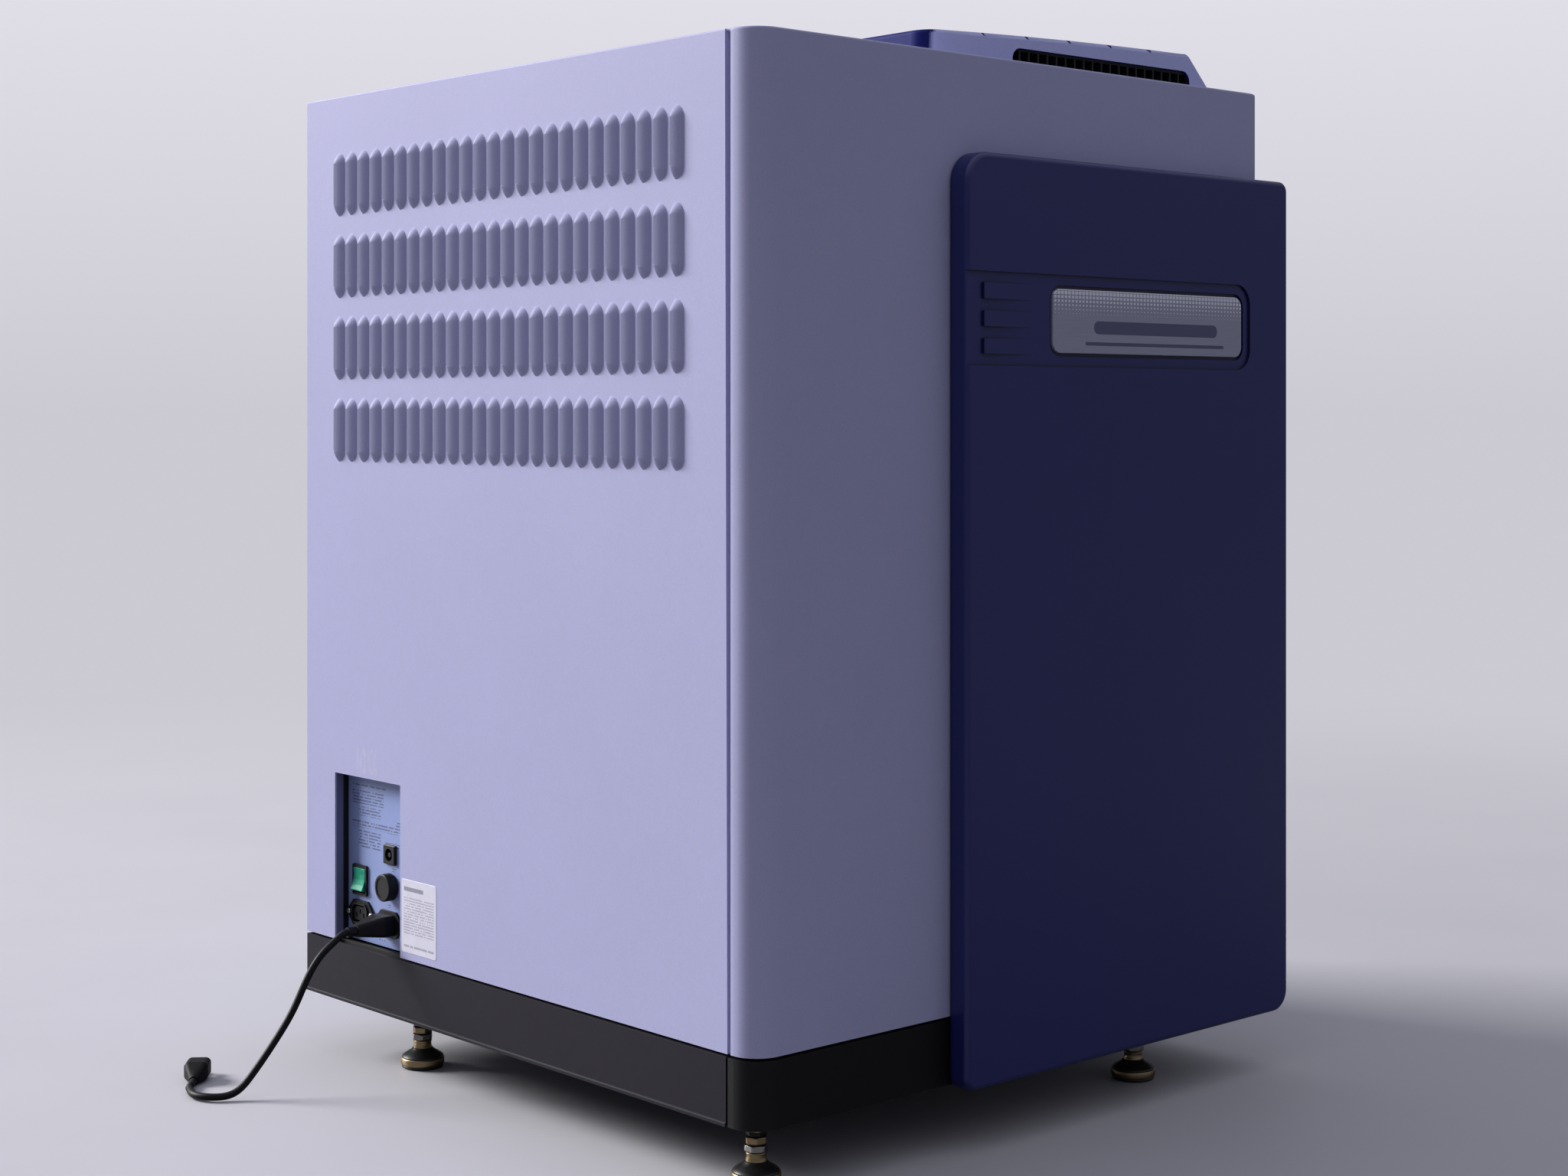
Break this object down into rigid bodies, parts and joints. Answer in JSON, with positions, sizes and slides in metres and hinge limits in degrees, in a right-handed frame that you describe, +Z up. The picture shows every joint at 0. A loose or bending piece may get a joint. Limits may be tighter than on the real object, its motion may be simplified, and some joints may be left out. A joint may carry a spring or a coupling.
{
  "type": "thermal cycler",
  "caption": "Tall bench-top thermal cycler cabinet with a hinged front door, louvred side panel, side power recess, top hood and levelling feet around a moving thermal stage.",
  "frame": {"origin": "centre of the whole footprint, power cord included, on the bench surface under the feet", "axes": "+X to the right seen from the front, +Y from the front door to the rear, +Z up"},
  "size_m": [0.8735, 0.7144, 1.008],
  "materials": {
    "frame_paint": "satin powder coat",
    "deck_black": "matt powder coat",
    "plinth_black": "fine satin powder coat",
    "plinth_grey": "fine textured powder coat",
    "shell_paint": "fine textured satin powder coat, lavender grey",
    "blue_plastic": "moulded, semi-gloss, dark blue",
    "black_plastic": "moulded, fine grain",
    "plate_paint": "satin paint, light blue",
    "green_plastic": "translucent green",
    "bright_steel": "bright zinc plated",
    "cord_rubber": "flexible PVC, black",
    "name_plate": "satin anodised",
    "hinge_black": "black",
    "seal_rubber": "foam rubber",
    "foot_brass": "yellow passivated",
    "aluminium": "machined",
    "black_metal": "black anodised",
    "ceramic_white": "alumina",
    "block_gold": "plated, machined",
    "filter_glass": "coated",
    "galvanised": "galvanised sheet",
    "board_green": "solder mask"
  },
  "bodies": {
    "cabinet": {"base_deck": "deck_black", "base_frame": "frame_paint", "bay_sleeve": "black_plastic", "button_head_screws": "bright_steel", "cabinet_hinge_leaves": "hinge_black", "camera": "black_metal", "connector_plate": "plate_paint", "control_board": "board_green", "data_port": "black_plastic", "door_magnets": "bright_steel", "door_seal": "seal_rubber", "fan_frame": "black_plastic", "fan_guard": "bright_steel", "filter_wheel_motor": "black_metal", "front_shell": "shell_paint", "hinge_pins": "bright_steel", "hood_grille": "black_plastic", "inlet_recess_box": "shell_paint", "jam_nuts": "foot_brass", "lamp_house": "aluminium", "left_side_panel": "shell_paint", "lens_housing": "black_metal", "optics_bridge": "aluminium", "outlet_screws": "bright_steel", "plinth_front": "plinth_black", "plinth_rear_wrap": "plinth_grey", "power_inlet": "black_plastic", "power_outlet": "black_plastic", "power_supply": "galvanised", "rear_panel": "shell_paint", "right_side_panel": "shell_paint", "round_port_socket": "black_plastic", "stage_motor": "black_metal", "stage_rails": "bright_steel", "switch_bezel": "black_plastic", "top_hood": "blue_plastic", "top_panel": "shell_paint", "upper_frame": "frame_paint"},
    "door": {"front_door": "blue_plastic", "door_back_plate": "frame_paint", "name_plate": "name_plate", "door_hinge_leaves": "hinge_black"},
    "rocker": {"switch_rocker": "green_plastic"},
    "port_cap": {"round_port_cap": "black_plastic"},
    "cord": {"cord_connector": "cord_rubber", "cord_cable": "cord_rubber", "wall_plug": "cord_rubber"},
    "stage": {"stage_carriage": "aluminium", "heat_sink": "aluminium", "peltier_modules": "ceramic_white", "thermal_block": "block_gold", "plate_nest": "black_plastic"},
    "screw": {"lead_screw": "bright_steel"},
    "filter_wheel_body": {"filter_wheel": "black_metal", "emission_filters": "filter_glass"},
    "fan": {"fan_rotor": "black_plastic"},
    "foot_front_left": {"levelling_foot_front_left": "foot_brass"},
    "foot_front_right": {"levelling_foot_front_right": "foot_brass"},
    "foot_rear_left": {"levelling_foot_rear_left": "foot_brass"},
    "foot_rear_right": {"levelling_foot_rear_right": "foot_brass"}
  },
  "joints": [
    {"name": "door_hinge", "type": "hinge", "parent": "cabinet", "child": "door", "pos_m": [0.43076, -0.3428, 0.466], "axis": [0, 0, 1], "range_deg": [0, 110]},
    {"name": "switch_rock", "type": "hinge", "parent": "cabinet", "child": "rocker", "pos_m": [-0.23664, 0.2788, 0.1802], "axis": [0, -1, 0], "range_deg": [0, 20]},
    {"name": "cap_turn", "type": "hinge", "parent": "cabinet", "child": "port_cap", "pos_m": [-0.24424, 0.2242, 0.181], "axis": [-1, 0, 0], "range_deg": [0, 90]},
    {"name": "cord_unplug", "type": "slide", "parent": "cabinet", "child": "cord", "axis": [-1, 0, 0], "range_m": [0, 0.02]},
    {"name": "stage_travel", "type": "slide", "parent": "cabinet", "child": "stage", "axis": [0, 1, 0], "range_m": [0, 0.24]},
    {"name": "lead_screw_turn", "type": "hinge", "parent": "cabinet", "child": "screw", "pos_m": [0.19576, -0.0198, 0.424], "axis": [0, 1, 0], "range_deg": [0, 4320]},
    {"name": "filter_wheel_turn", "type": "hinge", "parent": "cabinet", "child": "filter_wheel_body", "pos_m": [0.24776, 0.0302, 0.64], "axis": [0, 0, 1], "continuous": true},
    {"name": "fan_spin", "type": "hinge", "parent": "cabinet", "child": "fan", "pos_m": [-0.02424, 0.3322, 0.72], "axis": [0, 1, 0], "continuous": true},
    {"name": "foot_turn_front_left", "type": "hinge", "parent": "cabinet", "child": "foot_front_left", "pos_m": [-0.20624, -0.2828, 0.06], "axis": [0, 0, 1], "continuous": true},
    {"name": "foot_turn_front_right", "type": "hinge", "parent": "cabinet", "child": "foot_front_right", "pos_m": [0.28376, -0.2828, 0.06], "axis": [0, 0, 1], "continuous": true},
    {"name": "foot_turn_rear_left", "type": "hinge", "parent": "cabinet", "child": "foot_rear_left", "pos_m": [-0.20624, 0.2172, 0.06], "axis": [0, 0, 1], "continuous": true},
    {"name": "foot_turn_rear_right", "type": "hinge", "parent": "cabinet", "child": "foot_rear_right", "pos_m": [0.28376, 0.2172, 0.06], "axis": [0, 0, 1], "continuous": true}
  ],
  "couplings": [
    {"joint": "lead_screw_turn", "follows": "stage_travel", "rad_per_m": 314.16}
  ]
}
